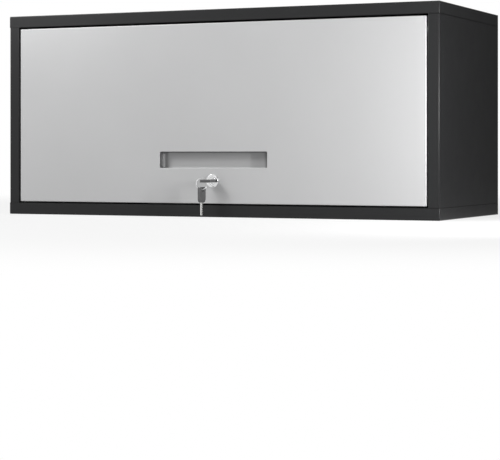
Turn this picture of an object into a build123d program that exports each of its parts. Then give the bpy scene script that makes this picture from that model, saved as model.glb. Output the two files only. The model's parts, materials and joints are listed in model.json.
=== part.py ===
from build123d import *
import math
import os

os.makedirs("parts", exist_ok=True)

# A steel wall cabinet, closed. The origin is the middle of the wall face:
# X to the right, Y towards the wall, Z up. The door lifts about a pin at each top corner,
# then its two wheels can run back along the side rails. Millimetres.

# Carcass
WIDTH = 800.0
HEIGHT = 350.0
DEPTH = 325.0
SHEET = 1.0
BEND = 1.6
STILE_BEND = 3.5
FRAME = 20.0
STILE_RETURN = 22.0
TOP_RETURN = 22.0
BOTTOM_RETURN = 34.0
REAR_FLANGE = 20.0
LAP = 10.0
LAP_INSET = 6.0
KEYHOLE_SPACING = 650.0
KEYHOLE_HEIGHT = 91.0
KEYHOLE_HEAD = 12.0
KEYHOLE_SLOT = 6.0
KEYHOLE_LIFT = 13.0

# Corner gussets and the strip that the door closes against
GUSSET_RADIUS = 80.0
STRIP_HEIGHT = 11.0
STRIP_FOOT = 10.0
STRIP_GAP = 2.5

# Door
DOOR_THICK = 18.5
GAP_SIDE = 2.5
GAP_BOTTOM = 2.5
GAP_TOP = 3.0
NEST = 0.1
TRAY_FLANGE = 10.0
PIVOT_DROP = 21.0
SWAGE_MARGIN = 37.5
SWAGE_HEIGHT = 96.0
SWAGE_FROM_BOTTOM = 180.0
SWAGE_DEPTH = 4.0
SWAGE_CORNER = 8.0
SWAGE_TAPER = 45.0
ACCESS_WIDTH = 216.0
ACCESS_HEIGHT = 78.0
ACCESS_FROM_BOTTOM = 20.0
ACCESS_CORNER = 8.0

# Recessed handle
HANDLE_WIDTH = 200.0
HANDLE_HEIGHT = 27.5
HANDLE_FROM_BOTTOM = 73.8
HANDLE_DEPTH = 15.0
HANDLE_CORNER = 2.0
HANDLE_END_ROUND = 12.0
HANDLE_RIM = 5.0
HANDLE_LIP = 0.8

# Pivot pins, their blocks in the door and the wheels on them
FIT = 0.05
PIN_RADIUS = 4.0
JOURNAL_RADIUS = 3.0
PIN_HEAD_RADIUS = 5.0
PIN_HEAD = 1.2
SIDE_PLAY = 0.15
NOTCH_CLEAR = 1.0
WHEEL_RADIUS = 7.5
WHEEL_WIDTH = 7.8
WHEEL_EDGE = 0.8
BLOCK_WIDTH = 10.4
BLOCK_HEIGHT = 57.0
BLOCK_EDGE = 1.0
LOBE_RADIUS = 8.0
LOBE_PITCH = 32.0
LOBE_INSET = 7.0
LOBE_THICK = 2.5
LOBE_TAIL = 3.0
LOBE_SCREW_RADIUS = 1.7
LOBE_SCREW_HEAD_RADIUS = 3.6
LOBE_SCREW_HEAD = 2.0

# Side rails
RAIL_SHEET = 1.5
RAIL_START = 0.5
RAIL_LENGTH = 246.0
RAIL_SKIRT = 26.0
RAIL_LEDGE = 10.0
TRACK_CLEAR = 0.4
TRACK_LIP = 3.0
TRACK_WIDTH = 13.5

# Front support rollers
ROLLER_RADIUS = 12.5
ROLLER_WIDTH = 9.0
ROLLER_EDGE = 1.2
ROLLER_SETBACK = 33.0
ROLLER_INSET = 1.0
ROLLER_POCKET_RADIUS = 7.0
ROLLER_POCKET = 3.2
DOOR_CLEAR = 0.3
AXLE_RADIUS = 4.0
AXLE_SPACER_RADIUS = 5.5
AXLE_TAIL_RADIUS = 3.0
AXLE_SCREW_RADIUS = 2.0
AXLE_SCREW_LENGTH = 8.0
AXLE_SCREW_HEAD_RADIUS = 6.0
AXLE_SCREW_HEAD = 2.2

# Door bumpers
BUMPER_RADIUS = 5.0
BUMPER_EDGE = 1.2
BUMPER_CLEAR = 0.2
BUMPER_INSET = 28.0
BUMPER_RISE = 11.0

# Cam lock
LOCK_FROM_BOTTOM = 38.5
LOCK_FACE_RADIUS = 11.5
LOCK_FACE = 2.2
LOCK_FACE_EDGE = 0.8
LOCK_RADIUS = 9.0
LOCK_LENGTH = 23.6
LOCK_NUT_RADIUS = 14.5
LOCK_NUT = 4.0
BARREL_RADIUS = 6.5
BARREL_RECESS = 0.4
CAM_PLAY = 0.2
CAM_SQUARE = 8.0
CAM_THICK = 2.0
CAM_REACH = 38.0
CAM_WIDTH = 14.0
CAM_SCREW_RADIUS = 2.0
CAM_SCREW_LENGTH = 4.0
CAM_SCREW_HEAD_RADIUS = 6.0
CAM_SCREW_HEAD = 2.2

# Keys and key ring
KEY_BLADE = 21.0
KEY_BLADE_WIDTH = 6.0
KEY_BLADE_THICK = 2.0
KEY_TANG = 7.0
KEY_SLOT_CLEAR = 0.15
KEY_STANDOFF = 2.0
KEY_HEAD = 26.0
KEY_HEAD_WIDTH = 20.0
KEY_HEAD_THICK = 4.6
KEY_HEAD_EDGE = 0.8
KEY_END_ROUND = 2.5
KEY_SHOULDER_ROUND = 6.0
KEY_EYE_RADIUS = 3.2
KEY_EYE_BAR = 1.8
KEY_TEETH = 5
KEY_TOOTH_PITCH = 3.0
KEY_TOOTH_DEPTH = 1.6
KEY_GROOVE_WIDTH = 1.8
KEY_GROOVE_DEPTH = 0.5
KEY_GROOVE_SHIFT = 1.2
RING_RADIUS = 9.2
RING_WIRE_RADIUS = 0.75
RING_FACET_COUNT = 8
RING_PLAY = 0.5
RING_TURN = 25.0
SPARE_PLAY = 1.4
SPARE_TURN = -5.0

# Places worked out from the sizes above
FRONT = -DEPTH
BACK_INSIDE = -SHEET
TOP = HEIGHT / 2
OPENING_TOP = TOP - FRAME
OPENING_BOTTOM = FRAME - TOP
OPENING_SIDE = WIDTH / 2 - FRAME
WALL_INSIDE = WIDTH / 2 - SHEET
DOOR_SIDE = OPENING_SIDE - GAP_SIDE
DOOR_TOP = OPENING_TOP - GAP_TOP
DOOR_BOTTOM = OPENING_BOTTOM + GAP_BOTTOM
DOOR_HEIGHT = DOOR_TOP - DOOR_BOTTOM
DOOR_MIDDLE = (DOOR_TOP + DOOR_BOTTOM) / 2
DOOR_BACK = FRONT + DOOR_THICK
TRAY_SIDE = DOOR_SIDE - SHEET - NEST
TRAY_TOP = DOOR_TOP - SHEET - NEST
TRAY_HEIGHT = DOOR_HEIGHT - 2 * (SHEET + NEST)
STOP_FACE = FRONT + STILE_RETURN
PIVOT_Y = FRONT + DOOR_THICK / 2
PIVOT_Z = DOOR_TOP - PIVOT_DROP
BLOCK_INSIDE = TRAY_SIDE - BLOCK_WIDTH
BLOCK_MIDDLE = TRAY_TOP - BLOCK_HEIGHT / 2
LOBE_X = BLOCK_INSIDE - LOBE_INSET
TRACK_HALF = WHEEL_RADIUS + TRACK_CLEAR
WEB_FACE = WALL_INSIDE - RAIL_SHEET
WHEEL_OUTSIDE = WEB_FACE - 2 * SIDE_PLAY - PIN_HEAD - SIDE_PLAY
WHEEL_INSIDE = WHEEL_OUTSIDE - WHEEL_WIDTH
ROLLER_Y = FRONT + ROLLER_SETBACK
ROLLER_Z = PIVOT_Z - DOOR_THICK / 2 - DOOR_CLEAR - ROLLER_RADIUS
ROLLER_OUTSIDE = OPENING_SIDE - ROLLER_INSET
ROLLER_INSIDE = ROLLER_OUTSIDE - ROLLER_WIDTH
HANDLE_Z = DOOR_BOTTOM + HANDLE_FROM_BOTTOM
LOCK_Z = DOOR_BOTTOM + LOCK_FROM_BOTTOM
LOCK_FRONT = FRONT - LOCK_FACE
BARREL_FRONT = LOCK_FRONT + BARREL_RECESS
CAM_FRONT = FRONT + LOCK_LENGTH + CAM_PLAY
KEY_SHOULDER = LOCK_FRONT - KEY_STANDOFF
KEY_EYE = KEY_EYE_BAR + KEY_EYE_RADIUS - KEY_HEAD


def save(part, name):
    part.label = name
    export_step(part, f"parts/{name}.step")


def save_pair(right_part, name):
    # The left piece is the mirror image of the right one.
    with BuildPart() as left:
        mirror(right_part, about=Plane.YZ)
    save(right_part, f"right_{name}")
    save(left.part, f"left_{name}")


def upright(y):
    # A plane at depth y that faces the front, with X to the right and Z up.
    return Plane.XZ.offset(-y)


def turned(centre, direction, steps):
    # A turned piece: (length, radius) steps laid end to end from the centre along the direction.
    with BuildPart() as piece:
        reach = 0.0
        for length, radius in steps:
            with BuildSketch(Plane(centre, z_dir=direction).offset(reach)):
                Circle(radius)
            extrude(amount=length)
            reach += length
    return piece.part


# Top and bottom panels: pans with a frame face, side and rear flanges and a folded return
def cap(return_depth):
    with BuildPart() as pan:
        with BuildSketch(Plane.XY.offset(OPENING_TOP)):
            with Locations((0, (FRONT + BACK_INSIDE) / 2)):
                Rectangle(WIDTH, BACK_INSIDE - FRONT)
        extrude(amount=FRAME)
        front_corners = pan.edges().filter_by(Axis.Z).group_by(Axis.Y)[0]
        rim = pan.edges().group_by(Axis.Z)[-1]
        fillet(front_corners + rim, BEND)
        offset(amount=-SHEET, openings=pan.faces().sort_by(Axis.Z)[0])
        with BuildSketch(Plane.XY.offset(OPENING_TOP)):
            with Locations((0, FRONT + (SHEET + return_depth) / 2)):
                Rectangle(2 * WALL_INSIDE, return_depth - SHEET)
        extrude(amount=SHEET)
    return pan.part


top_panel = cap(TOP_RETURN)
with BuildPart() as bottom_panel:
    mirror(cap(BOTTOM_RETURN), about=Plane.XY)
save(top_panel, "top_panel")
save(bottom_panel.part, "bottom_panel")

# Side panels: one folded sheet each, with stile, return and rear flange, and tabs behind the caps
LAP_FRONT = FRONT + BOTTOM_RETURN + LAP_INSET
LAP_BACK = BACK_INSIDE - SHEET - LAP_INSET
with BuildPart() as side_panel:
    with BuildSketch(Plane.XY.offset(OPENING_BOTTOM)):
        with BuildLine():
            fold = FilletPolyline(
                (OPENING_SIDE, FRONT + STILE_RETURN),
                (OPENING_SIDE, FRONT),
                (WIDTH / 2, FRONT),
                (WIDTH / 2, BACK_INSIDE),
                (WIDTH / 2 - REAR_FLANGE, BACK_INSIDE),
                radius=[BEND, STILE_BEND, BEND],
            )
            offset(fold, amount=SHEET, side=Side.LEFT)
        make_face()
    extrude(amount=HEIGHT - 2 * FRAME)
    with BuildSketch(Plane.YZ.offset(WALL_INSIDE)):
        with Locations(((LAP_FRONT + LAP_BACK) / 2, 0)):
            with GridLocations(1, HEIGHT - 2 * FRAME, 1, 2):
                Rectangle(LAP_BACK - LAP_FRONT, 2 * LAP)
    extrude(amount=-SHEET)
    # A notch through the return lets the pivot pin run back
    with BuildSketch(Plane.YZ.offset(OPENING_SIDE)):
        with Locations((PIVOT_Y, PIVOT_Z)):
            Circle(PIN_RADIUS + NOTCH_CLEAR)
            Rectangle(STILE_RETURN, 2 * (PIN_RADIUS + NOTCH_CLEAR), align=(Align.MIN, Align.CENTER))
    extrude(amount=SHEET, mode=Mode.SUBTRACT)
save_pair(side_panel.part, "side_panel")

# Back panel with two keyholes
with BuildPart() as back_panel:
    with BuildSketch(upright(0)):
        Rectangle(WIDTH, HEIGHT)
        with Locations((0, KEYHOLE_HEIGHT)):
            with GridLocations(KEYHOLE_SPACING, 1, 2, 1):
                Circle(KEYHOLE_HEAD / 2, mode=Mode.SUBTRACT)
        with Locations((0, KEYHOLE_HEIGHT + KEYHOLE_LIFT / 2)):
            with GridLocations(KEYHOLE_SPACING, 1, 2, 1):
                SlotCenterToCenter(KEYHOLE_LIFT, KEYHOLE_SLOT, rotation=90, mode=Mode.SUBTRACT)
    extrude(amount=SHEET)
save(back_panel.part, "back_panel")

# Corner gussets behind the door's lower corners
ARC_X = OPENING_SIDE - GUSSET_RADIUS
ARC_Z = OPENING_BOTTOM + GUSSET_RADIUS
with BuildPart() as gusset:
    with BuildSketch(upright(STOP_FACE)):
        with BuildLine():
            CenterArc((ARC_X, ARC_Z), GUSSET_RADIUS, 270, 90)
            Polyline(
                (OPENING_SIDE, ARC_Z),
                (OPENING_SIDE + SHEET, ARC_Z),
                (OPENING_SIDE + SHEET, OPENING_BOTTOM),
                (ARC_X, OPENING_BOTTOM),
            )
        make_face()
    extrude(amount=-SHEET)
save_pair(gusset.part, "corner_gusset")

# Angle strip that the lock cam catches behind
with BuildPart() as stop_strip:
    with BuildSketch(Plane.YZ):
        with BuildLine():
            angle = FilletPolyline(
                (STOP_FACE, OPENING_BOTTOM + STRIP_HEIGHT),
                (STOP_FACE, OPENING_BOTTOM),
                (STOP_FACE + STRIP_FOOT, OPENING_BOTTOM),
                radius=BEND,
            )
            offset(angle, amount=SHEET, side=Side.LEFT)
        make_face()
    extrude(amount=ARC_X - STRIP_GAP, both=True)
save(stop_strip.part, "door_stop_strip")

# Side rails: a track for the pivot wheel over a skirt that carries the roller axle
RAIL_FRONT = FRONT + STILE_BEND + RAIL_START
RAIL_BOTTOM = PIVOT_Z - TRACK_HALF - RAIL_SKIRT
RAIL_TOP = PIVOT_Z + TRACK_HALF + RAIL_SHEET
TRACK_EDGE = WALL_INSIDE - TRACK_WIDTH
with BuildPart() as rail:
    with BuildSketch(upright(RAIL_FRONT)):
        with Locations((WALL_INSIDE, RAIL_BOTTOM)):
            Rectangle(RAIL_SHEET, RAIL_TOP - RAIL_BOTTOM, align=(Align.MAX, Align.MIN))
            Rectangle(RAIL_LEDGE, RAIL_SHEET, align=(Align.MAX, Align.MIN))
        with Locations((WALL_INSIDE, PIVOT_Z)):
            with GridLocations(1, 2 * TRACK_HALF + RAIL_SHEET, 1, 2):
                Rectangle(TRACK_WIDTH, RAIL_SHEET, align=(Align.MAX, Align.CENTER))
        with Locations((TRACK_EDGE, PIVOT_Z)):
            with GridLocations(1, 2 * TRACK_HALF - TRACK_LIP, 1, 2):
                Rectangle(RAIL_SHEET, TRACK_LIP, align=(Align.MIN, Align.CENTER))
    extrude(amount=-RAIL_LENGTH)
    with BuildSketch(upright(RAIL_FRONT + RAIL_LENGTH)):
        with Locations((WALL_INSIDE, PIVOT_Z)):
            Rectangle(TRACK_WIDTH, 2 * TRACK_HALF, align=(Align.MAX, Align.CENTER))
    extrude(amount=RAIL_SHEET)
    with BuildSketch(Plane.YZ.offset(WEB_FACE)):
        with Locations((ROLLER_Y, ROLLER_Z)):
            Circle(AXLE_TAIL_RADIUS + FIT)
    extrude(amount=RAIL_SHEET, mode=Mode.SUBTRACT)
save_pair(rail.part, "rail")

# Front rollers that the raised door rests on
with BuildPart() as roller:
    with BuildSketch(Plane.XY.offset(ROLLER_Z)) as roller_profile:
        with BuildLine():
            rim = ROLLER_Y + ROLLER_RADIUS
            bore = ROLLER_Y + AXLE_RADIUS + FIT
            pocket = ROLLER_Y + ROLLER_POCKET_RADIUS
            Polyline(
                (ROLLER_INSIDE, rim),
                (ROLLER_OUTSIDE, rim),
                (ROLLER_OUTSIDE, bore),
                (ROLLER_INSIDE + ROLLER_POCKET, bore),
                (ROLLER_INSIDE + ROLLER_POCKET, pocket),
                (ROLLER_INSIDE, pocket),
                close=True,
            )
        make_face()
        chamfer(roller_profile.vertices().group_by(Axis.Y)[-1], ROLLER_EDGE)
    revolve(axis=Axis((0, ROLLER_Y, ROLLER_Z), (1, 0, 0)))
save_pair(roller.part, "roller")

# Roller axles riveted into the rails, each with a screw in its end
AXLE_END = ROLLER_INSIDE + ROLLER_POCKET - SIDE_PLAY
SPACER_END = ROLLER_OUTSIDE + SIDE_PLAY
axle_blank = turned(
    (WALL_INSIDE, ROLLER_Y, ROLLER_Z),
    (-1, 0, 0),
    [
        (RAIL_SHEET, AXLE_TAIL_RADIUS),
        (WEB_FACE - SPACER_END, AXLE_SPACER_RADIUS),
        (SPACER_END - AXLE_END, AXLE_RADIUS),
    ],
)
with BuildPart() as roller_axle:
    add(axle_blank)
    with BuildSketch(Plane.YZ.offset(AXLE_END)):
        with Locations((ROLLER_Y, ROLLER_Z)):
            Circle(AXLE_SCREW_RADIUS + FIT)
    extrude(amount=AXLE_SCREW_LENGTH, mode=Mode.SUBTRACT)
save_pair(roller_axle.part, "roller_axle")

axle_screw = turned(
    (AXLE_END - AXLE_SCREW_HEAD, ROLLER_Y, ROLLER_Z),
    (1, 0, 0),
    [(AXLE_SCREW_HEAD, AXLE_SCREW_HEAD_RADIUS), (AXLE_SCREW_LENGTH, AXLE_SCREW_RADIUS)],
)
with BuildPart() as axle_screws:
    add(axle_screw)
    mirror(axle_screw, about=Plane.YZ)
save(axle_screws.part, "roller_screws")

# Door skin: a pan with the handle window, the lock hole and a pin hole in each edge
with BuildPart() as door_skin:
    with BuildSketch(upright(FRONT)):
        with Locations((0, DOOR_MIDDLE)):
            Rectangle(2 * DOOR_SIDE, DOOR_HEIGHT)
    extrude(amount=-DOOR_THICK)
    face_edges = door_skin.edges().group_by(Axis.Y)[0]
    corners = door_skin.edges().filter_by(Axis.Y)
    fillet(face_edges + corners, BEND)
    offset(amount=-SHEET, openings=door_skin.faces().sort_by(Axis.Y)[-1])
    with BuildSketch(upright(FRONT)):
        with Locations((0, HANDLE_Z)):
            RectangleRounded(HANDLE_WIDTH, HANDLE_HEIGHT, HANDLE_CORNER)
        with Locations((0, LOCK_Z)):
            Circle(LOCK_RADIUS + FIT)
    extrude(amount=-SHEET, mode=Mode.SUBTRACT)
    face_holes = door_skin.faces().sort_by(Axis.Y)[0].inner_wires()
    fillet(face_holes.sort_by(SortBy.LENGTH)[-1].edges(), HANDLE_LIP)
    with BuildSketch(Plane.YZ):
        with Locations((PIVOT_Y, PIVOT_Z)):
            Circle(PIN_RADIUS + FIT)
    extrude(amount=DOOR_SIDE, both=True, mode=Mode.SUBTRACT)
save(door_skin.part, "door_skin")

# Door inner panel: a tray nested in the skin, with a pressed swage and an access window
SWAGE_WIDTH = 2 * (DOOR_SIDE - SWAGE_MARGIN)
SWAGE_Z = DOOR_BOTTOM + SWAGE_FROM_BOTTOM + SWAGE_HEIGHT / 2
ACCESS_Z = DOOR_BOTTOM + ACCESS_FROM_BOTTOM + ACCESS_HEIGHT / 2
with BuildPart() as door_inner_panel:
    with BuildSketch(upright(DOOR_BACK)):
        with Locations((0, DOOR_MIDDLE)):
            Rectangle(2 * TRAY_SIDE, TRAY_HEIGHT)
    extrude(amount=TRAY_FLANGE)
    fillet(door_inner_panel.edges().filter_by(Axis.Y), BEND)
    offset(amount=-SHEET, openings=door_inner_panel.faces().sort_by(Axis.Y)[0])
    with BuildSketch(upright(DOOR_BACK)):
        with Locations((0, SWAGE_Z)):
            RectangleRounded(SWAGE_WIDTH + 2 * SHEET, SWAGE_HEIGHT + 2 * SHEET, SWAGE_CORNER + SHEET)
    extrude(amount=SWAGE_DEPTH + SHEET, taper=SWAGE_TAPER)
    with BuildSketch(upright(DOOR_BACK)):
        with Locations((0, SWAGE_Z)):
            RectangleRounded(SWAGE_WIDTH, SWAGE_HEIGHT, SWAGE_CORNER)
    extrude(amount=SWAGE_DEPTH, taper=SWAGE_TAPER, mode=Mode.SUBTRACT)
    with BuildSketch(upright(DOOR_BACK)):
        with Locations((0, ACCESS_Z)):
            RectangleRounded(ACCESS_WIDTH, ACCESS_HEIGHT, ACCESS_CORNER)
        with Locations((0, BLOCK_MIDDLE)):
            with GridLocations(2 * LOBE_X, LOBE_PITCH, 2, 2):
                Circle(LOBE_SCREW_RADIUS + FIT)
    extrude(amount=SHEET, mode=Mode.SUBTRACT)
    # The top corners are cut away for the pivot blocks
    with BuildSketch(upright(DOOR_BACK)):
        with Locations((0, BLOCK_MIDDLE)):
            with GridLocations(2 * TRAY_SIDE, 1, 2, 1):
                Rectangle(2 * (BLOCK_WIDTH + NEST), BLOCK_HEIGHT + 2 * NEST)
    extrude(amount=TRAY_FLANGE, mode=Mode.SUBTRACT)
save(door_inner_panel.part, "door_inner_panel")

# Handle cup: a recess with sloping ends, and a rim fixed behind the skin
CUP_FRONT = FRONT + SHEET
CUP_BACK = FRONT + HANDLE_DEPTH
with BuildPart() as recess:
    with BuildSketch(upright(CUP_FRONT)):
        with Locations((0, HANDLE_Z)):
            Rectangle(HANDLE_WIDTH, HANDLE_HEIGHT)
    extrude(amount=CUP_FRONT - CUP_BACK)
    fillet(recess.edges().filter_by(Axis.Z).group_by(Axis.Y)[-1], HANDLE_END_ROUND)
    mouth = recess.faces().sort_by(Axis.Y)[0]
    fillet(recess.edges().filter_by(Axis.Z, reverse=True) - mouth.edges(), HANDLE_CORNER)
with BuildPart() as handle_cup:
    offset(recess.part, amount=SHEET)
    split(bisect_by=upright(CUP_FRONT), keep=Keep.BOTTOM)
    with BuildSketch(upright(CUP_FRONT)):
        with Locations((0, HANDLE_Z)):
            Rectangle(HANDLE_WIDTH + 2 * HANDLE_RIM, HANDLE_HEIGHT + 2 * HANDLE_RIM)
    extrude(amount=-SHEET)
    add(recess.part, mode=Mode.SUBTRACT)
save(handle_cup.part, "handle_cup")

# Pivot blocks: a body in the door's corner and a two-lobed flange screwed to the inner panel
with BuildPart() as pivot_block:
    with BuildSketch(upright(DOOR_BACK)):
        with Locations((TRAY_SIDE, BLOCK_MIDDLE)):
            Rectangle(BLOCK_WIDTH, BLOCK_HEIGHT, align=(Align.MAX, Align.CENTER))
    extrude(amount=DOOR_THICK - SHEET - NEST)
    front_edges = pivot_block.edges().group_by(Axis.Y)[0]
    fillet(pivot_block.edges().filter_by(Axis.Y) + front_edges, BLOCK_EDGE)
    with BuildSketch(upright(DOOR_BACK)):
        with Locations((LOBE_X, BLOCK_MIDDLE)):
            Rectangle(LOBE_INSET + LOBE_TAIL, LOBE_PITCH, align=(Align.MIN, Align.CENTER))
            with GridLocations(1, LOBE_PITCH, 1, 2):
                Circle(LOBE_RADIUS)
                Circle(LOBE_SCREW_RADIUS + FIT, mode=Mode.SUBTRACT)
    extrude(amount=-LOBE_THICK)
    with BuildSketch(Plane.YZ.offset(BLOCK_INSIDE)):
        with Locations((PIVOT_Y, PIVOT_Z)):
            Circle(PIN_RADIUS + FIT)
    extrude(amount=BLOCK_WIDTH, mode=Mode.SUBTRACT)
save_pair(pivot_block.part, "pivot_block")

lobe_screw = turned(
    (LOBE_X, DOOR_BACK + LOBE_THICK + LOBE_SCREW_HEAD, 0),
    (0, -1, 0),
    [(LOBE_SCREW_HEAD, LOBE_SCREW_HEAD_RADIUS), (LOBE_THICK + 2 * SHEET, LOBE_SCREW_RADIUS)],
)
with BuildPart() as block_screws:
    for screw_x in (0, -2 * LOBE_X):
        for screw_z in (BLOCK_MIDDLE - LOBE_PITCH / 2, BLOCK_MIDDLE + LOBE_PITCH / 2):
            with Locations((screw_x, 0, screw_z)):
                add(lobe_screw)
save(block_screws.part, "pivot_block_screws")

# Pivot pins and the wheels that run in the rails
pivot_pin = turned(
    (BLOCK_INSIDE, PIVOT_Y, PIVOT_Z),
    (1, 0, 0),
    [
        (WHEEL_INSIDE - SIDE_PLAY - BLOCK_INSIDE, PIN_RADIUS),
        (WHEEL_WIDTH + 2 * SIDE_PLAY, JOURNAL_RADIUS),
        (PIN_HEAD, PIN_HEAD_RADIUS),
    ],
)
save_pair(pivot_pin, "pivot_pin")

with BuildPart() as pivot_wheel:
    with BuildSketch(Plane.YZ.offset(WHEEL_INSIDE)):
        with Locations((PIVOT_Y, PIVOT_Z)):
            Circle(WHEEL_RADIUS)
            Circle(JOURNAL_RADIUS + FIT, mode=Mode.SUBTRACT)
    extrude(amount=WHEEL_WIDTH)
    rims = pivot_wheel.edges().filter_by(GeomType.CIRCLE).group_by(SortBy.RADIUS)[-1]
    chamfer(rims, WHEEL_EDGE)
save_pair(pivot_wheel.part, "pivot_wheel")

# Soft bumpers on the door's lower corners, which meet the gussets
BUMPER_HEIGHT = STOP_FACE - DOOR_BACK - BUMPER_CLEAR
bumper_blank = turned(
    (DOOR_SIDE - BUMPER_INSET, DOOR_BACK, DOOR_BOTTOM + BUMPER_RISE),
    (0, 1, 0),
    [(BUMPER_HEIGHT, BUMPER_RADIUS)],
)
with BuildPart() as bumper:
    add(bumper_blank)
    chamfer(bumper.edges().group_by(Axis.Y)[-1], BUMPER_EDGE)
save_pair(bumper.part, "bumper")

# Cam lock: body, nut, turning barrel with its keyway, cam and screw
lock_blank = turned(
    (0, LOCK_FRONT, LOCK_Z),
    (0, 1, 0),
    [(LOCK_FACE, LOCK_FACE_RADIUS), (LOCK_LENGTH, LOCK_RADIUS)],
)
with BuildPart() as lock_body:
    add(lock_blank)
    chamfer(lock_body.edges().group_by(Axis.Y)[0], LOCK_FACE_EDGE)
    with BuildSketch(upright(LOCK_FRONT)):
        with Locations((0, LOCK_Z)):
            Circle(BARREL_RADIUS + FIT)
    extrude(amount=-(LOCK_FACE + LOCK_LENGTH), mode=Mode.SUBTRACT)
save(lock_body.part, "lock_body")

with BuildPart() as lock_nut:
    with BuildSketch(upright(FRONT + SHEET)):
        with Locations((0, LOCK_Z)):
            RegularPolygon(LOCK_NUT_RADIUS, 6)
            Circle(LOCK_RADIUS + FIT, mode=Mode.SUBTRACT)
    extrude(amount=-LOCK_NUT)
save(lock_nut.part, "lock_nut")

KEYWAY_DEPTH = KEY_BLADE - KEY_STANDOFF + SIDE_PLAY
with BuildPart() as lock_barrel:
    with BuildSketch(upright(BARREL_FRONT)):
        with Locations((0, LOCK_Z)):
            Circle(BARREL_RADIUS)
    extrude(amount=-(CAM_FRONT - BARREL_FRONT))
    with BuildSketch(upright(CAM_FRONT)):
        with Locations((0, LOCK_Z)):
            Rectangle(CAM_SQUARE, CAM_SQUARE)
    extrude(amount=-CAM_THICK)
    with BuildSketch(upright(LOCK_FRONT)):
        with Locations((0, LOCK_Z)):
            Rectangle(KEY_BLADE_WIDTH + 2 * KEY_SLOT_CLEAR, KEY_BLADE_THICK + 2 * KEY_SLOT_CLEAR)
    extrude(amount=-KEYWAY_DEPTH, mode=Mode.SUBTRACT)
    with BuildSketch(upright(CAM_FRONT + CAM_THICK)):
        with Locations((0, LOCK_Z)):
            Circle(CAM_SCREW_RADIUS + FIT)
    extrude(amount=CAM_SCREW_LENGTH, mode=Mode.SUBTRACT)
save(lock_barrel.part, "lock_barrel")

with BuildPart() as lock_cam:
    with BuildSketch(upright(CAM_FRONT)):
        with Locations((0, LOCK_Z)):
            Circle(CAM_WIDTH / 2)
            Rectangle(CAM_REACH, CAM_WIDTH, align=(Align.MIN, Align.CENTER))
            Rectangle(CAM_SQUARE + 2 * FIT, CAM_SQUARE + 2 * FIT, mode=Mode.SUBTRACT)
    extrude(amount=-CAM_THICK)
    fillet(lock_cam.edges().filter_by(Axis.Y).group_by(Axis.X)[-1], CAM_WIDTH / 4)
save(lock_cam.part, "lock_cam")

cam_screw = turned(
    (0, CAM_FRONT + CAM_THICK + CAM_SCREW_HEAD, LOCK_Z),
    (0, -1, 0),
    [(CAM_SCREW_HEAD, CAM_SCREW_HEAD_RADIUS), (CAM_SCREW_LENGTH, CAM_SCREW_RADIUS)],
)
save(cam_screw, "cam_screw")


# A key lying flat: x runs from its shoulder to the tip of the blade
with BuildPart() as flat_blade:
    with BuildSketch():
        Rectangle(KEY_BLADE, KEY_BLADE_WIDTH, align=(Align.MIN, Align.CENTER))
        Rectangle(KEY_TANG, KEY_BLADE_WIDTH, align=(Align.MAX, Align.CENTER))
        for tooth in range(KEY_TEETH):
            cut = KEY_TOOTH_DEPTH * (1 + tooth % 2) / 2
            with Locations((KEY_BLADE - (tooth + 0.5) * KEY_TOOTH_PITCH, KEY_BLADE_WIDTH / 2)):
                Polygon(
                    (-KEY_TOOTH_PITCH / 2, 0),
                    (0, -cut),
                    (KEY_TOOTH_PITCH / 2, 0),
                    align=None,
                    mode=Mode.SUBTRACT,
                )
    extrude(amount=KEY_BLADE_THICK / 2, both=True)
    for side in (1, -1):
        with BuildSketch(Plane.XY.offset(side * KEY_BLADE_THICK / 2)):
            with Locations((0, -KEY_GROOVE_SHIFT)):
                Rectangle(KEY_BLADE, KEY_GROOVE_WIDTH, align=(Align.MIN, Align.CENTER))
        extrude(amount=-side * KEY_GROOVE_DEPTH, mode=Mode.SUBTRACT)

with BuildPart() as flat_head:
    with BuildSketch() as head_outline:
        Rectangle(KEY_HEAD, KEY_HEAD_WIDTH, align=(Align.MAX, Align.CENTER))
        fillet(head_outline.vertices().group_by(Axis.X)[0], KEY_END_ROUND)
        fillet(head_outline.vertices().group_by(Axis.X)[-1], KEY_SHOULDER_ROUND)
    extrude(amount=KEY_HEAD_THICK / 2, both=True)
    chamfer(flat_head.faces().filter_by(Axis.Z).edges(), KEY_HEAD_EDGE)
    with BuildSketch():
        with Locations((KEY_EYE, 0)):
            Circle(KEY_EYE_RADIUS)
    extrude(amount=KEY_HEAD_THICK, both=True, mode=Mode.SUBTRACT)
    with BuildSketch():
        Rectangle(KEY_TANG, KEY_BLADE_WIDTH, align=(Align.MAX, Align.CENTER))
    extrude(amount=KEY_BLADE_THICK / 2, both=True, mode=Mode.SUBTRACT)

# The ring passes through the first key's eye and round the corner of its head, and the spare key hangs on it
ring_angle = math.radians(RING_TURN)
ring_along = (math.cos(ring_angle), math.sin(ring_angle), 0)
ring_normal = (math.sin(ring_angle), -math.cos(ring_angle), 0)
end_reach = (KEY_EYE_BAR + KEY_EYE_RADIUS) / math.sin(ring_angle)
side_reach = KEY_HEAD_WIDTH / 2 / math.cos(ring_angle)
corner_reach = min(end_reach, side_reach)
held_half = (corner_reach - KEY_EYE_RADIUS) / 2
held_middle = (corner_reach + KEY_EYE_RADIUS) / 2
ring_drop = math.sqrt((RING_RADIUS - RING_WIRE_RADIUS) ** 2 - held_half**2)
RING_X = -held_middle * math.cos(ring_angle)
RING_Y = KEY_SHOULDER + KEY_EYE - held_middle * math.sin(ring_angle)
RING_Z = LOCK_Z + KEY_HEAD_THICK / 2 - ring_drop + RING_PLAY
SPARE_EYE_Z = RING_Z - RING_RADIUS + RING_WIRE_RADIUS + SPARE_PLAY - KEY_EYE_RADIUS
spare_angle = math.radians(SPARE_TURN)
spare_normal = (math.cos(spare_angle), math.sin(spare_angle), 0)

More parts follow.
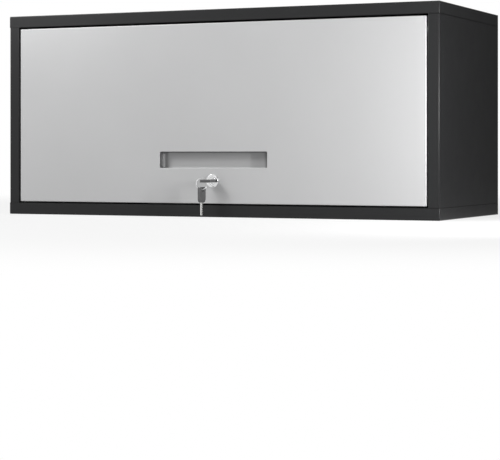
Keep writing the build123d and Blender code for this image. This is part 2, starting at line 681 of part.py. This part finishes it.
key_plane = Plane((0, KEY_SHOULDER, LOCK_Z), x_dir=(0, 1, 0), z_dir=(0, 0, 1))
spare_plane = Plane((RING_X, RING_Y, SPARE_EYE_Z + KEY_EYE), x_dir=(0, 0, -1), z_dir=spare_normal)
for plane, prefix in ((key_plane, "key"), (spare_plane, "spare_key")):
    with BuildPart() as blade:
        with Locations(plane):
            add(flat_blade.part)
    save(blade.part, f"{prefix}_blade")
    with BuildPart() as head:
        with Locations(plane):
            add(flat_head.part)
    save(head.part, f"{prefix}_head")

with BuildPart() as key_ring:
    with BuildSketch(Plane((RING_X, RING_Y, RING_Z), x_dir=(0, 0, 1), z_dir=ring_along)):
        with Locations((RING_RADIUS, 0)):
            RegularPolygon(RING_WIRE_RADIUS, RING_FACET_COUNT)
    revolve(axis=Axis((RING_X, RING_Y, RING_Z), ring_normal))
save(key_ring.part, "key_ring")
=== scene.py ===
import json
import math

import bmesh
import bpy
from mathutils import Matrix, Vector


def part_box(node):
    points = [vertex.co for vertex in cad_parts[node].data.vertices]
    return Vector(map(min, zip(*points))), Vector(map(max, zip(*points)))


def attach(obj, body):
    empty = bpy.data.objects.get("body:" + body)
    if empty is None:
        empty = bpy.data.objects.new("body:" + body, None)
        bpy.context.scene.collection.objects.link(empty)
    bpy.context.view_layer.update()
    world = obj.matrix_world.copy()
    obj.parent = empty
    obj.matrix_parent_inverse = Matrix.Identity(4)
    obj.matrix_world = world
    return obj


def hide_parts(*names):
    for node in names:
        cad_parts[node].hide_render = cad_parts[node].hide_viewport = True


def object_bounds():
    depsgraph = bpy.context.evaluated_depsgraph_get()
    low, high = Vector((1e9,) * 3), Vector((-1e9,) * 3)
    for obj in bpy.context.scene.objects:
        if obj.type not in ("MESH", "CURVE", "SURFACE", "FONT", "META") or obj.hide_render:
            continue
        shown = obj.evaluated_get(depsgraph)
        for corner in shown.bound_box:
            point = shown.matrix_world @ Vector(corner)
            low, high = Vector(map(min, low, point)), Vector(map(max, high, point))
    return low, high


# A steel wall cabinet, closed, with its key in the lock. Metres, in the frame of the solids:
# the origin is the middle of the wall face, X to the right, Y towards the wall, Z up.
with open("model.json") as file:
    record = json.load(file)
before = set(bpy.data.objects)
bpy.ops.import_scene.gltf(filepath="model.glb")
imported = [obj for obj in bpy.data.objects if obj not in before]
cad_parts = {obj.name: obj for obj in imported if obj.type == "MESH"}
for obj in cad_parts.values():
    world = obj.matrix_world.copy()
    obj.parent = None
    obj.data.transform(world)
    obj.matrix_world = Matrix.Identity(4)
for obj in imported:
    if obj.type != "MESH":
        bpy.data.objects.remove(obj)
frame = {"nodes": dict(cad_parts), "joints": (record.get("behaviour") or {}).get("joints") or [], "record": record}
cad_low, cad_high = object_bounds()
nodes = frame["nodes"]
MM = 0.001

# Colours, as linear red, green and blue
CHARCOAL = (0.0150, 0.0153, 0.0160)
SILVER = (0.57, 0.572, 0.576)
# The finger recess's silver, darkened as painted shade
RECESS_SHADED_SILVER = (0.42, 0.422, 0.425)
MID_GREY = (0.30, 0.305, 0.31)
NYLON_WHITE = (0.74, 0.74, 0.71)
RUBBER_WHITE = (0.66, 0.66, 0.64)
ZINC = (0.56, 0.565, 0.57)
CHROME = (0.80, 0.805, 0.81)
NICKEL = (0.80, 0.795, 0.78)
BLACKED = (0.035, 0.035, 0.037)
KEY_GREY = (0.1, 0.1, 0.102)

# Gloss of the powder coat
CARCASS_ROUGHNESS = 0.38
RAIL_ROUGHNESS = 0.46
POWDER_SPECULAR = 0.25

# Painted shade lines where the carcass sheets meet, as the shade in their gaps: half their width, and their share
# of the paint's tone
JOINT_HALF = 0.7 * MM
JOINT_SHADE = 0.12

# Share of metal in the silver paint
SILVER_METAL = 0.25

# Painted shade on the walls of the finger recess: their share of its floor's tone, and the turn from the door's
# face that has it
RECESS_WALL_SHADE = 0.36
WALL_SHADE_STEEP = math.radians(26)

# Most of a noise lies between these values
NOISE_LOW = 0.3
NOISE_HIGH = 0.7


class Paint:
    """One procedural material: a Principled shader with textures in object space."""

    def __init__(self, name):
        self.material = bpy.data.materials.new(name)
        self.material.use_nodes = True
        self.tree = self.material.node_tree
        self.shader = self.tree.nodes["Principled BSDF"]
        spot = self.add("ShaderNodeTexCoord")
        self.place = spot.outputs["Object"]
        self.normal = spot.outputs["Normal"]

    def add(self, kind):
        return self.tree.nodes.new(kind)

    def link(self, source, socket):
        self.tree.links.new(source, socket)

    def set(self, **values):
        """Sets sockets of the shader, named with underscores for spaces."""
        for name, value in values.items():
            self.shader.inputs[name.replace("_", " ")].default_value = value

    def stretched(self, stretch):
        mapping = self.add("ShaderNodeMapping")
        mapping.inputs["Scale"].default_value = stretch
        self.link(self.place, mapping.inputs["Vector"])
        return mapping.outputs["Vector"]

    def noise(self, size, detail=2, stretch=(1, 1, 1)):
        """Soft noise whose features are about size metres across."""
        texture = self.add("ShaderNodeTexNoise")
        texture.inputs["Scale"].default_value = 1 / size
        texture.inputs["Detail"].default_value = detail
        self.link(self.stretched(stretch), texture.inputs["Vector"])
        return texture.outputs["Fac"]

    def cells(self, size):
        """A random grey for each cell of about size metres."""
        texture = self.add("ShaderNodeTexVoronoi")
        texture.inputs["Scale"].default_value = 1 / size
        self.link(self.place, texture.inputs["Vector"])
        grey = self.add("ShaderNodeSeparateColor")
        self.link(texture.outputs["Color"], grey.inputs["Color"])
        return grey.outputs["Red"]

    def mapped(self, source, start, end, low, high):
        """The source, with start to end mapped to low to high."""
        limits = {"From Min": start, "From Max": end, "To Min": low, "To Max": high}
        mapping = self.add("ShaderNodeMapRange")
        for name, value in limits.items():
            mapping.inputs[name].default_value = value
        self.link(source, mapping.inputs["Value"])
        return mapping.outputs["Result"]

    def spread(self, source, low, high):
        """A noise, spread from low to high."""
        return self.mapped(source, NOISE_LOW, NOISE_HIGH, low, high)

    def shaded(self, colour, factor):
        """A colour, given as values or by another node, times a factor."""
        scale = self.add("ShaderNodeVectorMath")
        scale.operation = "SCALE"
        if isinstance(colour, tuple):
            scale.inputs[0].default_value = colour
        else:
            self.link(colour, scale.inputs[0])
        self.link(factor, scale.inputs["Scale"])
        return scale.outputs["Vector"]

    def tinted(self, noise, colour, low, high):
        """The colour, darkened or lightened by a noise, from low to high."""
        return self.shaded(colour, self.spread(noise, low, high))

    def level_line(self, height, half, shade):
        """1 all over, and shade on a level line at this height."""
        level = self.add("ShaderNodeSeparateXYZ")
        self.link(self.place, level.inputs["Vector"])
        near = self.add("ShaderNodeMath")
        near.operation = "COMPARE"
        near.inputs[1].default_value = height
        near.inputs[2].default_value = half
        self.link(level.outputs["Z"], near.inputs[0])
        return self.mapped(near.outputs["Value"], 0, 1, 1, shade)

    def painted_wall_shade(self, steep, share):
        """Painted shade: 1 on what faces forward or up, and down to share on what turns by steep to the sides or
        down.
        """
        # Only the sideways and downward parts of the normal count
        turned = self.normal
        for operation, limits in (("MINIMUM", (1, 1, 0)), ("MULTIPLY", (1, 0, 1))):
            step = self.add("ShaderNodeVectorMath")
            step.operation = operation
            step.inputs[1].default_value = limits
            self.link(turned, step.inputs[0])
            turned = step.outputs["Vector"]
        away = self.add("ShaderNodeVectorMath")
        away.operation = "LENGTH"
        self.link(turned, away.inputs[0])
        return self.mapped(away.outputs["Value"], 0, math.sin(steep), 1, share)

    def mixed(self, factor, first, second):
        mix = self.add("ShaderNodeMix")
        mix.data_type = "RGBA"
        self.link(factor, mix.inputs["Factor"])
        self.link(first, mix.inputs["A"])
        self.link(second, mix.inputs["B"])
        return mix.outputs["Result"]

    def colour(self, source):
        self.link(source, self.shader.inputs["Base Color"])

    def rough(self, noise, low, high):
        self.link(self.spread(noise, low, high), self.shader.inputs["Roughness"])

    def bump(self, *layers):
        """Stacks (height source, depth in metres) layers of bump."""
        normal = None
        for source, depth in layers:
            bump = self.add("ShaderNodeBump")
            bump.inputs["Distance"].default_value = depth
            self.link(source, bump.inputs["Height"])
            if normal:
                self.link(normal, bump.inputs["Normal"])
            normal = bump.outputs["Normal"]
        self.link(normal, self.shader.inputs["Normal"])


def powder_coat(name, colour, roughness, joints=()):
    """Satin powder coat: a fine orange peel over slow drifts of tone and gloss, with painted shade lines at the
    joints.
    """
    paint = Paint(name)
    paint.set(Specular_IOR_Level=POWDER_SPECULAR)
    drift = paint.noise(size=90 * MM, detail=3)
    tone = paint.tinted(drift, colour, low=0.96, high=1.04)
    # Painted shade of the gaps between the sheets
    for height in joints:
        tone = paint.shaded(tone, paint.level_line(height, JOINT_HALF, JOINT_SHADE))
    paint.colour(tone)
    clouds = paint.noise(size=30 * MM, detail=4)
    paint.rough(clouds, low=roughness - 0.015, high=roughness + 0.015)
    peel, peel_depth = paint.noise(size=1.6 * MM), 0.012 * MM
    grain, grain_depth = paint.noise(size=0.35 * MM), 0.004 * MM
    paint.bump((peel, peel_depth), (grain, grain_depth))
    return paint.material


def metallic_paint(name, colour, roughness, metallic, wall_shade=1.0):
    """Smooth silver paint with fine flakes. Walls that face sideways or down have painted shade: a share of its
    tone.
    """
    paint = Paint(name)
    paint.set(Metallic=metallic)
    drift = paint.noise(size=160 * MM)
    flakes = paint.cells(size=0.25 * MM)
    tone = paint.mixed(
        paint.spread(flakes, low=0.0, high=0.35),
        paint.tinted(drift, colour, low=0.985, high=1.015),
        paint.tinted(flakes, colour, low=0.96, high=1.04),
    )
    # Painted shade on the walls of a recess
    if wall_shade < 1:
        tone = paint.shaded(tone, paint.painted_wall_shade(WALL_SHADE_STEEP, wall_shade))
    paint.colour(tone)
    clouds = paint.noise(size=50 * MM, detail=4)
    paint.rough(clouds, low=roughness - 0.02, high=roughness + 0.02)
    flow, flow_depth = paint.noise(size=2.2 * MM), 0.004 * MM
    paint.bump((flow, flow_depth))
    return paint.material


def moulded_plastic(name, colour, roughness, grain):
    """Moulded plastic with faint flow marks and a spark-eroded grain of this size."""
    paint = Paint(name)
    flow = paint.noise(size=12 * MM, detail=3, stretch=(1, 1, 3))
    paint.colour(paint.tinted(flow, colour, low=0.94, high=1.05))
    clouds = paint.noise(size=6 * MM, detail=3)
    paint.rough(clouds, low=roughness - 0.05, high=roughness + 0.05)
    sparks, spark_depth = paint.noise(size=grain), 0.02 * MM
    paint.bump((sparks, spark_depth))
    return paint.material


def rubber(name, colour):
    """Soft rubber with a dusty bloom."""
    paint = Paint(name)
    bloom = paint.noise(size=4 * MM, detail=5)
    paint.colour(paint.tinted(bloom, colour, low=0.9, high=1.06))
    paint.rough(bloom, low=0.65, high=0.85)
    pores, pore_depth = paint.noise(size=0.5 * MM), 0.03 * MM
    paint.bump((pores, pore_depth))
    return paint.material


def plated(name, colour, roughness, brush, depth):
    """Plated metal with brush or turning marks of this depth, closer along the axes where brush is more."""
    paint = Paint(name)
    paint.set(Metallic=1.0)
    clouds = paint.noise(size=7 * MM, detail=4)
    paint.colour(paint.tinted(clouds, colour, low=0.9, high=1.06))
    smears = paint.noise(size=3 * MM, detail=5)
    paint.rough(smears, low=roughness - 0.05, high=roughness + 0.07)
    marks = paint.noise(size=0.3 * MM, detail=3, stretch=brush)
    paint.bump((marks, depth))
    return paint.material


# One material for each of the record's slots
finishes = {
    "carcass_paint": powder_coat("charcoal_powder_coat", CHARCOAL, CARCASS_ROUGHNESS),
    "rail_steel": powder_coat("rail_powder_coat", CHARCOAL, RAIL_ROUGHNESS),
    "door_paint": metallic_paint("silver_paint", SILVER, roughness=0.4, metallic=SILVER_METAL),
    "inner_panel_paint": metallic_paint("inner_grey_paint", MID_GREY, roughness=0.48, metallic=0.1),
    "nylon": moulded_plastic("white_nylon", NYLON_WHITE, roughness=0.42, grain=0.4 * MM),
    "plated_steel": plated("zinc_plate", ZINC, roughness=0.3, brush=(1, 6, 1), depth=0.006 * MM),
    "dark_screw_steel": plated("blacked_steel", BLACKED, roughness=0.4, brush=(1, 3, 3), depth=0.006 * MM),
    "bumper_rubber": rubber("white_rubber", RUBBER_WHITE),
    "lock_chrome": plated("polished_chrome", CHROME, roughness=0.12, brush=(1, 8, 1), depth=0.0015 * MM),
    "key_steel": plated("nickel_plate", NICKEL, roughness=0.24, brush=(8, 1, 1), depth=0.004 * MM),
    "key_plastic": moulded_plastic("dark_key_plastic", KEY_GREY, roughness=0.48, grain=0.3 * MM),
    "ring_steel": plated("spring_wire", CHROME, roughness=0.18, brush=(1, 1, 1), depth=0.002 * MM),
}

# Painted shade: the recess is darker than the door's face, and darkest on its ends and its upper wall.
# The powder coat has a painted dark line, as the shade of the gap, where the top and the bottom meet the sides.
recess_shaded_paint = metallic_paint("recess_shaded_silver_paint", RECESS_SHADED_SILVER, 0.44, SILVER_METAL, RECESS_WALL_SHADE)
own_finishes = {"handle_cup": recess_shaded_paint}
joints = (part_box("bottom_panel")[1].z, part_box("top_panel")[0].z)
joint_shaded = powder_coat("joint_shaded_powder_coat", CHARCOAL, CARCASS_ROUGHNESS, joints)
for node in ("top_panel", "bottom_panel", "left_side_panel", "right_side_panel"):
    own_finishes[node] = joint_shaded

# Every solid takes its own or its slot's finish. The triangles of its flat faces are merged,
# and its sharp edges get a small rounding.
SAME_POINT = 0.001 * MM
FLAT_ANGLE = math.radians(0.5)
EDGE_ANGLE = math.radians(40)
EDGE_STEPS = 2
EDGE = 0.25 * MM
SHEET_EDGE = 0.38 * MM

for part in frame["record"]["subparts"]:
    solid = nodes[part["node"]]
    solid.data.materials.clear()
    solid.data.materials.append(own_finishes.get(part["node"], finishes[part["material_slot"]]))
    weld = solid.modifiers.new("weld", "WELD")
    weld.merge_threshold = SAME_POINT
    flats = solid.modifiers.new("flats", "DECIMATE")
    flats.decimate_type = "DISSOLVE"
    flats.angle_limit = FLAT_ANGLE
    bevel = solid.modifiers.new("edges", "BEVEL")
    bevel.width = SHEET_EDGE if part["material_slot"] == "carcass_paint" else EDGE
    bevel.segments = EDGE_STEPS
    bevel.limit_method = "ANGLE"
    bevel.angle_limit = EDGE_ANGLE
    bevel.harden_normals = True

# Edges of the pieces below that turn by more than this stay sharp
SHARP_ANGLE = math.radians(35)


def stand_in(name, mesh, node, body, slot):
    """Shows a bmesh in place of a solid, with the slot's finish, and lets it ride on the solid's body."""
    bmesh.ops.recalc_face_normals(mesh, faces=mesh.faces)
    for face in mesh.faces:
        face.smooth = True
    data = bpy.data.meshes.new(name)
    mesh.to_mesh(data)
    mesh.free()
    data.set_sharp_from_angle(angle=SHARP_ANGLE)
    data.materials.append(finishes[slot])
    piece = bpy.data.objects.new(name, data)
    bpy.context.scene.collection.objects.link(piece)
    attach(piece, body)
    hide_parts(node)


def skinned(mesh, sections):
    """Joins sections, each a closed loop of points, with faces, and closes both ends."""
    loops = []
    for section in sections:
        loops.append([mesh.verts.new(point) for point in section])
    for first, second in zip(loops, loops[1:]):
        for here in range(len(first)):
            after = (here + 1) % len(first)
            mesh.faces.new((first[here], first[after], second[after], second[here]))
    mesh.faces.new(loops[0])
    mesh.faces.new(loops[-1])


# Split key ring: two turns of wire side by side, and the step where one passes over to the other.
# Each turn is flat on the inside and rounded on the outside, within the plain ring's wire.
RING_SOLID_WIRE = 1.5 * MM
RING_WIDE = 1.36 * MM
RING_DEEP = 1.4 * MM
RING_TURN_DEEP = 0.66 * MM
RING_OUTER_CUT = 0.42 * MM
RING_INNER_CUT = 0.08 * MM
RING_STEPS = 160
RING_CROSSING = math.radians(26)
RING_CROSSING_AT = math.radians(200)


def split_ring():
    low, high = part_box("key_ring")
    centre = (low + high) / 2
    radius = (high.z - low.z - RING_SOLID_WIRE) / 2
    swing = next(joint for joint in frame["joints"] if joint["name"] == "key_ring_swing")
    along = Vector(swing["axis"]).normalized()
    up = Vector((0, 0, 1))
    axle = along.cross(up)
    wide, deep = RING_WIDE / 2, RING_TURN_DEEP / 2
    sections = []
    for step in range(RING_STEPS + 1):
        turn = RING_CROSSING / 2 + (4 * math.pi - RING_CROSSING) * step / RING_STEPS
        # 0 on the first turn, 1 on the second, with a smooth step between
        crossed = min(max((turn - 2 * math.pi) / RING_CROSSING + 0.5, 0), 1)
        crossed = crossed * crossed * (3 - 2 * crossed)
        shift = (RING_DEEP - RING_TURN_DEEP) * (crossed - 0.5)
        angle = turn + RING_CROSSING_AT
        outward = along * math.cos(angle) + up * math.sin(angle)
        section = []
        for side, level in ((1, 1), (-1, 1), (-1, -1), (1, -1)):
            outer = crossed if level > 0 else 1 - crossed
            cut = RING_INNER_CUT + (RING_OUTER_CUT - RING_INNER_CUT) * outer
            corner = [(side * wide, level * (deep - cut)), (side * (wide - cut), level * deep)]
            section += corner if side * level > 0 else corner[::-1]
        sections.append([
            centre + outward * (radius + reach) + axle * (shift + level) for reach, level in section
        ])
    mesh = bmesh.new()
    skinned(mesh, sections)
    stand_in("split_key_ring", mesh, "key_ring", "ring", "ring_steel")


split_ring()

# Screws with a domed head and a cross recess. Sizes are shares of the head's radius and height,
# and the point's is a share of the shank's radius.
SCREW_SIDES = 32
SCREW_RIM = 0.35
SCREW_CHAMFER = 0.94
SCREW_DOME_STEPS = 5
SCREW_POINT = 0.6
CROSS_REACH = 0.58
CROSS_WIDTH = 0.13
CROSS_FLOOR = 0.35
CROSS_TOP = 2.0

# A plain screw's head is where it has this share of its largest radius. Places along it are in metres,
# to this many digits.
HEAD_SHARE = 0.9
PLACE_DIGITS = 5


def solids_of(node):
    """The corner points of each separate solid in a node."""
    mesh = bmesh.new()
    mesh.from_mesh(nodes[node].data)
    bmesh.ops.remove_doubles(mesh, verts=mesh.verts, dist=SAME_POINT)
    solids = []
    for start in mesh.verts:
        if start.tag:
            continue
        start.tag = True
        reached = [start]
        for corner in reached:
            for edge in corner.link_edges:
                other = edge.other_vert(corner)
                if not other.tag:
                    other.tag = True
                    reached.append(other)
        solids.append([corner.co.copy() for corner in reached])
    mesh.free()
    return solids


def carved(mesh, cutter):
    """The first bmesh less the second."""
    holders = []
    for source in (mesh, cutter):
        data = bpy.data.meshes.new("carving")
        source.to_mesh(data)
        source.free()
        holders.append(bpy.data.objects.new("carving", data))
        bpy.context.scene.collection.objects.link(holders[-1])
    cut = holders[0].modifiers.new("cut", "BOOLEAN")
    cut.object = holders[1]
    result = bmesh.new()
    result.from_object(holders[0], bpy.context.evaluated_depsgraph_get())
    for holder in holders:
        bpy.data.meshes.remove(holder.data)
    return result


def cross_screw(head_radius, head_height, shank_radius, shank_length):
    """A screw along Z, with the underside of its head at the origin and its shank below."""

    def circle(radius, height):
        angles = [2 * math.pi * side / SCREW_SIDES for side in range(SCREW_SIDES)]
        return [Vector((radius * math.cos(a), radius * math.sin(a), height)) for a in angles]

    sections = [
        circle(SCREW_POINT * shank_radius, -shank_length),
        circle(shank_radius, -shank_length + shank_radius * (1 - SCREW_POINT)),
        circle(shank_radius, 0),
        circle(SCREW_CHAMFER * head_radius, 0),
        circle(head_radius, (1 - SCREW_CHAMFER) * head_radius),
    ]
    for step in range(SCREW_DOME_STEPS):
        lift = math.radians(90) * step / SCREW_DOME_STEPS
        rise = SCREW_RIM + (1 - SCREW_RIM) * math.sin(lift)
        sections.append(circle(head_radius * math.cos(lift), head_height * rise))
    blank = bmesh.new()
    skinned(blank, sections)
    reach, width = CROSS_REACH * head_radius, CROSS_WIDTH * head_radius
    arm = [Vector((reach, -width, 0)), Vector((reach, width, 0)), Vector((width, width, 0))]
    outline = []
    for quarter in range(4):
        turn = Matrix.Rotation(math.radians(90) * quarter, 3, "Z")
        outline += [turn @ point for point in arm]
    cutter = bmesh.new()
    levels = [Vector((0, 0, share * head_height)) for share in (CROSS_FLOOR, CROSS_TOP)]
    skinned(cutter, [[point + level for point in outline] for level in levels])
    bmesh.ops.recalc_face_normals(blank, faces=blank.faces)
    bmesh.ops.recalc_face_normals(cutter, faces=cutter.faces)
    return carved(blank, cutter)


def cross_screws(name, node, axis, body, slot):
    """A cross-head screw in place of each plain one of a node, whose screws lie along one axis."""
    whole = bmesh.new()
    for points in solids_of(node):
        middle = sum(points, Vector()) / len(points)
        middle[axis] = 0
        # Distances of the corner points from the screw's axis, by their place along it
        reach = {}
        for point in points:
            radius = ((point - middle) * Vector(int(side != axis) for side in range(3))).length
            reach.setdefault(round(point[axis], PLACE_DIGITS), []).append(radius)
        places = sorted(reach)
        head_radius = max(max(radii) for radii in reach.values())
        head = [place for place in places if max(reach[place]) > HEAD_SHARE * head_radius]
        shank = [place for place in places if place not in head]
        facing = 1 if head[0] > shank[0] else -1
        under = head[0] if facing > 0 else head[-1]
        far = shank[0] if facing > 0 else shank[-1]
        screw = cross_screw(head_radius, head[-1] - head[0], max(reach[far]), abs(under - far))
        outward = Vector(facing * int(side == axis) for side in range(3))
        middle[axis] = under
        place = Matrix.Translation(middle) @ outward.to_track_quat("Z", "Y").to_matrix().to_4x4()
        bmesh.ops.transform(screw, matrix=place, verts=screw.verts)
        data = bpy.data.meshes.new("screw")
        screw.to_mesh(data)
        screw.free()
        whole.from_mesh(data)
        bpy.data.meshes.remove(data)
    stand_in(name, whole, node, body, slot)


X_AXIS, Y_AXIS = 0, 1
cross_screws("roller_cross_screws", "roller_screws", X_AXIS, "cabinet", "dark_screw_steel")
cross_screws("block_cross_screws", "pivot_block_screws", Y_AXIS, "door", "plated_steel")
cross_screws("cam_cross_screw", "cam_screw", Y_AXIS, "lock", "plated_steel")

# Background: white to the camera, and in reflections a room that is dark on one side.
# The dark side is an azimuth from the front, counted to the right. The room darkens between two edges,
# which are cosines of a direction, or metres on the floor, towards that side.
ROOM_WHITE = 0.9
ROOM_DARK = 0.1
ROOM_DARK_SIDE = math.radians(120)
ROOM_EDGES = (0.0, 0.5)

# Floor. Near the cabinet it is part plain white, as FLOOR_GLOW says, and part a matt tone that shows light
# and shadow. Further out it is all plain white. FLOOR_TONE is what bounced light meets.
FLOOR_SIZE = 5.0
FLOOR_CLEAR = 0.2 * MM
FLOOR_TONE = (0.5, 0.5, 0.5, 1)
FLOOR_SEEN = (1, 1, 1, 1)
FLOOR_GLOW = 0.7
FLOOR_NEAR = 0.7
FLOOR_FAR = 1.7


def light_seen(tree):
    """1 for the rays that see the background: from the camera, and by reflection or through glass."""
    path = tree.nodes.new("ShaderNodeLightPath")
    seen = path.outputs["Is Camera Ray"]
    for name in ("Is Glossy Ray", "Is Transmission Ray"):
        either = tree.nodes.new("ShaderNodeMath")
        either.operation = "MAXIMUM"
        tree.links.new(seen, either.inputs[0])
        tree.links.new(path.outputs[name], either.inputs[1])
        seen = either.outputs["Value"]
    return seen


def between(tree, factor, low, high):
    """A value from low to high, each a number or another node's output."""
    node = tree.nodes.new("ShaderNodeMapRange")
    tree.links.new(factor, node.inputs["Value"])
    for name, value in (("To Min", low), ("To Max", high)):
        if isinstance(value, float):
            node.inputs[name].default_value = value
        else:
            tree.links.new(value, node.inputs[name])
    return node


def smooth_from(node, start, end):
    """Lets a value from between() change smoothly while its factor goes from start to end."""
    node.inputs["From Min"].default_value = start
    node.inputs["From Max"].default_value = end
    node.interpolation_type = "SMOOTHSTEP"


def background_strength(tree, place):
    """White for the camera, and for gloss the room, as a place on the floor or a direction has it."""
    towards = tree.nodes.new("ShaderNodeVectorMath")
    towards.operation = "DOT_PRODUCT"
    towards.inputs[1].default_value = (math.sin(ROOM_DARK_SIDE), -math.cos(ROOM_DARK_SIDE), 0)
    tree.links.new(place, towards.inputs[0])
    room = between(tree, towards.outputs["Value"], ROOM_WHITE, ROOM_DARK)
    smooth_from(room, *ROOM_EDGES)
    path = tree.nodes.new("ShaderNodeLightPath")
    return between(tree, path.outputs["Is Camera Ray"], room.outputs["Result"], 1.0).outputs["Result"]


def floor_material():
    """Pale matt floor that keeps the shadow near the cabinet and is plain background further out."""
    material = bpy.data.materials.new("studio_floor")
    material.use_nodes = True
    tree = material.node_tree
    tree.nodes.clear()

    def add(kind):
        return tree.nodes.new(kind)

    def mix(factor, first, second):
        node = add("ShaderNodeMixShader")
        tree.links.new(factor, node.inputs["Fac"])
        tree.links.new(first.outputs[0], node.inputs[1])
        tree.links.new(second.outputs[0], node.inputs[2])
        return node

    def matt(tone):
        node = add("ShaderNodeBsdfDiffuse")
        node.inputs["Color"].default_value = tone
        return node

    place = add("ShaderNodeTexCoord").outputs["Object"]
    white = add("ShaderNodeEmission")
    tree.links.new(background_strength(tree, place), white.inputs["Strength"])
    reach = add("ShaderNodeVectorMath")
    reach.operation = "LENGTH"
    tree.links.new(place, reach.inputs[0])
    fade = between(tree, reach.outputs["Value"], FLOOR_GLOW, 1.0)
    smooth_from(fade, FLOOR_NEAR, FLOOR_FAR)
    shown = mix(fade.outputs["Result"], matt(FLOOR_SEEN), white)
    output = add("ShaderNodeOutputMaterial")
    tree.links.new(mix(light_seen(tree), matt(FLOOR_TONE), shown).outputs[0], output.inputs["Surface"])
    return material


bpy.ops.mesh.primitive_plane_add(size=FLOOR_SIZE, location=(0, 0, cad_low.z - FLOOR_CLEAR))
floor = bpy.context.object
floor.name = "floor"
floor.data.materials.append(floor_material())

# Soft studio light
AMBIENT = 0.15


def world_light():
    """The background for the rays that see it, and a soft grey for bounced light."""
    world = bpy.data.worlds.new("studio")
    bpy.context.scene.world = world
    world.use_nodes = True
    tree = world.node_tree
    direction = tree.nodes.new("ShaderNodeTexCoord").outputs["Generated"]
    strength = between(tree, light_seen(tree), AMBIENT, background_strength(tree, direction))
    background = tree.nodes["Background"]
    background.inputs["Color"].default_value = (1, 1, 1, 1)
    tree.links.new(strength.outputs["Result"], background.inputs["Strength"])


def softbox(name, azimuth, height, distance, size, power):
    """An area lamp that faces the cabinet, at an azimuth in degrees to the right of the front."""
    lamp = bpy.data.lights.new(name, "AREA")
    lamp.shape = "RECTANGLE"
    lamp.size, lamp.size_y = size
    lamp.energy = power
    holder = bpy.data.objects.new(name, lamp)
    bpy.context.scene.collection.objects.link(holder)
    turn = math.radians(azimuth)
    centre = (cad_low + cad_high) / 2
    holder.location = centre + Vector((math.sin(turn) * distance, -math.cos(turn) * distance, height))
    holder.rotation_euler = (centre - holder.location).to_track_quat("-Z", "Y").to_euler()


world_light()
softbox("key", azimuth=-40, height=1.6, distance=2.2, size=(0.7, 0.7), power=30)
softbox("corner", azimuth=-46, height=0.42, distance=1.1, size=(0.25, 0.25), power=1.7)
softbox("right", azimuth=60, height=0.2, distance=0.95, size=(0.3, 0.4), power=1.4)
softbox("edge", azimuth=62, height=0.0, distance=0.9, size=(0.03, 0.2), power=3.2)
softbox("back", azimuth=205, height=1.2, distance=1.8, size=(1.2, 1.2), power=14)

# Camera, level, as the photograph was taken. Its turn is in degrees, and its lens in millimetres.
CAMERA_PLACE = (1.2695, -2.9624, -0.0688)
CAMERA_TURN = 24.47
CAMERA_LENS = 125.3
CAMERA_SHIFT = -0.152

lens = bpy.data.cameras.new("camera")
lens.lens = CAMERA_LENS
lens.shift_y = CAMERA_SHIFT
camera = bpy.data.objects.new("camera", lens)
camera.location = CAMERA_PLACE
camera.rotation_euler = (math.radians(90), 0, math.radians(CAMERA_TURN))
bpy.context.scene.collection.objects.link(camera)
bpy.context.scene.camera = camera
bpy.context.scene.view_settings.view_transform = "Standard"
